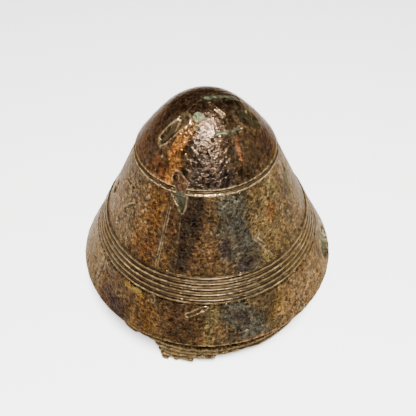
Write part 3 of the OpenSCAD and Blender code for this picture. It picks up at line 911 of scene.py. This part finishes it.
inner_r, inner_z, inner_top = INNER_HIGH[0], INNER_LOW[2], INNER_HIGH[2]
inner_outline = [(0, inner_z), (inner_r, inner_z), (inner_r, inner_top)]
inner_outline += ring_groove(43, 41.4, inner_top, -0.35, 0.4) + ring_groove(12, 10.4, inner_top, -0.35, 0.4)
inner_lid = turned("inner_lid_turned", inner_outline + [(0, inner_top)], 0.8, 1.5, closed=False, soft=0.12)
stem_top = inner_top + KNOB_STEM_H
knob_outline = [
    (0, KNOB_LOW[2]), (PEG_HEAD_R, KNOB_LOW[2]), (PEG_HEAD_R, inner_z), (PEG_R, inner_z), (PEG_R, inner_top),
    (KNOB_FOOT_R, inner_top), (KNOB_STEM_R, inner_top + 2.2), (KNOB_STEM_R, stem_top)]
knob_outline += arc(KNOB_STEM_R, stem_top + KNOB_BALL_R, KNOB_BALL_R, -90, 90) + [(0, KNOB_HIGH[2])]
knob = turned("inner_lid_knob_turned", knob_outline, 0.4, 6, closed=False, wear=None, soft=0.15)


def worn_copy(node, name, voxel, rough, seed, colours=None):
    """A remeshed copy of a CAD node with its edges rounded and its faces roughened. colours gives its
    patina below and above a height, and that height."""
    piece = bpy.data.objects.new(name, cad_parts[node].data.copy())
    bpy.context.scene.collection.objects.link(piece)
    for kind, settings in (("REMESH", {"mode": "VOXEL", "voxel_size": voxel * MM}),
                           ("SMOOTH", {"factor": 0.5, "iterations": 3})):
        modifier = piece.modifiers.new(kind, kind)
        for key, value in settings.items():
            setattr(modifier, key, value)
    graph = bpy.context.evaluated_depsgraph_get()
    mesh = bpy.data.meshes.new_from_object(piece.evaluated_get(graph))
    piece.modifiers.clear()
    piece.data = mesh
    mesh.name = name
    count = len(mesh.vertices)
    points, normals = np.zeros(count * 3), np.zeros(count * 3)
    mesh.vertices.foreach_get("co", points)
    mesh.vertices.foreach_get("normal", normals)
    points, normals = points.reshape(-1, 3) / MM, normals.reshape(-1, 3)
    points += normals * (rough * (WEAR.layers(points + seed, 1.2, 3) - 0.4))[:, None]
    mesh.vertices.foreach_set("co", limits(points * MM).ravel())
    mesh.polygons.foreach_set("use_smooth", [True] * len(mesh.polygons))
    if colours is not None:
        low_colour, high_colour, change_z = colours
        height = points[:, 2] + 0.6 * STAIN.layers(points, 1.5, 2)
        share = smooth(change_z - 0.7, change_z + 0.7, height)[:, None]
        values = np.ones((count, 4), np.float32)
        values[:, :3] = low_colour * (1 - share) + high_colour * share
        mesh.attributes.new("PatinaAndPaintedLight", "FLOAT_COLOR", "POINT").data.foreach_set("color", values.ravel())
    mesh.update()
    return piece


key_colours = (patina(84, 80, 60), patina(88, 60, 40), 91.4)
key = worn_copy("lid_key", "lid_key_worn", 0.16, 0.12, 3, key_colours)
rivet = worn_copy("key_rivet", "key_rivet_worn", 0.12, 0.06, 7)
plugs = worn_copy("crown_plugs", "crown_plugs_worn", 0.14, 0.08, 9)
spoon = worn_copy("spoon", "spoon_worn", 0.3, 0.03, 13)

# Bodies and finishes -------------------------------------------------------------------------

inside_brass = brass("inside_brass", linear(128, 98, 54), rough=0.36, speck=0.35, relief=0.3, streaks=0.5)
bowl_brass = brass("bowl_brass", linear(146, 112, 58), rough=0.24, speck=0.25, relief=0.25)
cone_patina_and_painted_light = brass("cone_patina_and_painted_light", rough=0.26, relief=0.75)
skirt_patina_and_painted_light = brass("skirt_patina_and_painted_light", rough=0.26, relief=0.75)
band_patina_and_painted_light = brass("band_patina_and_painted_light", rough=0.14, speck=0.4, relief=0.3)
rim_patina_and_painted_light = brass("rim_patina_and_painted_light", rough=0.18, speck=0.4, relief=0.3)
dome_patina_and_painted_light = brass("dome_patina_and_painted_light", rough=0.18, relief=0.45, speck=0.85)
key_patina = brass("key_patina", rough=0.45, metal=0.7)
rivet_patina = brass("rivet_patina", patina(70, 50, 34), rough=0.5)
plug_patina = brass("plug_patina", patina(128, 130, 96), rough=0.5, metal=0.3)
foot_patina_and_painted_light = brass("foot_patina_and_painted_light", rough=0.24, relief=0.8)
floor_brass = brass("floor_brass", linear(104, 82, 48), speck=0.6, relief=0.6, streaks=0.4)
knob_brass = brass("knob_brass", linear(140, 106, 56), rough=0.26, speck=0.3, relief=0.3)
spoon_brass = brass("spoon_brass", linear(138, 106, 58), rough=0.26, speck=0.3, relief=0.3)

finish_piece(cone, cone_patina_and_painted_light, "cover", "cover_brass", "cover_cone")
finish_piece(skirt, skirt_patina_and_painted_light, "cover", "cover_brass", "cover_cone")
finish_piece(band, band_patina_and_painted_light, "cover", "band_brass", "ridged_band")
finish_piece(rim, rim_patina_and_painted_light, "cover", "rim_brass", "mouth_ring")
finish_piece(collar, inside_brass, "cover", "inner_brass", "mouth_collar")
finish_piece(dome, dome_patina_and_painted_light, "lid", "lid_brass", "lid_dome")
finish_piece(neck, inside_brass, "lid", "inner_brass", "lid_neck")
finish_piece(key, key_patina, "lid", "verdigris_brass", "lid_key")
finish_piece(rivet, rivet_patina, "lid", "lid_brass", "key_rivet")
finish_piece(plugs, plug_patina, "lid", "verdigris_brass", "crown_plugs")
finish_piece(foot, foot_patina_and_painted_light, "base", "foot_brass", "base_foot")
finish_piece(floor_plate, floor_brass, "base", "floor_brass", "base_floor")
for node, piece in bowls:
    finish_piece(piece, bowl_brass, node, "bowl_brass", node)
finish_piece(inner_lid, inside_brass, "inner_lid", "inner_brass", "inner_lid")
finish_piece(knob, knob_brass, "inner_lid", "knob_brass", "inner_lid_knob")
finish_piece(spoon, spoon_brass, "spoon", "spoon_brass", "spoon")

# Floor, light and camera ---------------------------------------------------------------------

FLOOR_REACH = 6.0
floor_mesh = bpy.data.meshes.new("floor")
floor_corners = [(-1, -1), (1, -1), (1, 1), (-1, 1)]
floor_mesh.from_pydata([(x * FLOOR_REACH, y * FLOOR_REACH, 0) for x, y in floor_corners], [], [(0, 1, 2, 3)])
floor = bpy.data.objects.new("floor", floor_mesh)
bpy.context.scene.collection.objects.link(floor)
floor_paint = bpy.data.materials.new("floor_paint")
floor_paint.use_nodes = True
floor_shader = floor_paint.node_tree.nodes["Principled BSDF"]
floor_shader.inputs["Base Color"].default_value = (0.95, 0.95, 0.94, 1)
floor_shader.inputs["Roughness"].default_value = 0.9
floor_shader.inputs["Emission Color"].default_value = (1, 1, 1, 1)
floor_shader.inputs["Emission Strength"].default_value = 0.9        # lit like a light table
floor.data.materials.append(floor_paint)
floor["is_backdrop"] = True


def softbox(name, location, target_z, width, height, power):
    """A white area light aimed at a point on the axis. Places and sizes are in metres, power in watts."""
    light = bpy.data.lights.new(name, "AREA")
    light.shape, light.size, light.size_y = "RECTANGLE", width, height
    light.energy = power
    lamp = bpy.data.objects.new(name, light)
    bpy.context.scene.collection.objects.link(lamp)
    lamp.location = location
    direction = mathutils.Vector((0, 0, target_z)) - mathutils.Vector(location)
    lamp.rotation_mode = "QUATERNION"
    lamp.rotation_quaternion = direction.to_track_quat("-Z", "Y")


softbox("top_light", (0.04, -0.33, 0.74), 0.08, 0.15, 0.15, 30)
softbox("left_light", (-0.9, 0.1, 0.45), 0.06, 0.7, 0.6, 3)
softbox("right_light", (0.9, 0.1, 0.45), 0.06, 0.7, 0.6, 3)

world = bpy.data.worlds.new("studio")
bpy.context.scene.world = world
world.use_nodes = True
background = world.node_tree.nodes["Background"]
background.inputs["Color"].default_value = (1.0, 0.99, 0.97, 1)
background.inputs["Strength"].default_value = 0.16

CAMERA_DOWN, CAMERA_ROLL = 46.37, -0.55        # degrees below level, and about the line of sight
camera_data = bpy.data.cameras.new("camera")
camera_data.lens, camera_data.sensor_width, camera_data.shift_x = 46.75, 36, 0.003
camera = bpy.data.objects.new("camera", camera_data)
bpy.context.scene.collection.objects.link(camera)
camera.location = (0, -0.1750, 0.2356)
camera.rotation_mode = "ZYX"
camera.rotation_euler = (math.radians(90 - CAMERA_DOWN), 0, math.radians(CAMERA_ROLL))
bpy.context.scene.camera = camera

low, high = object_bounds()
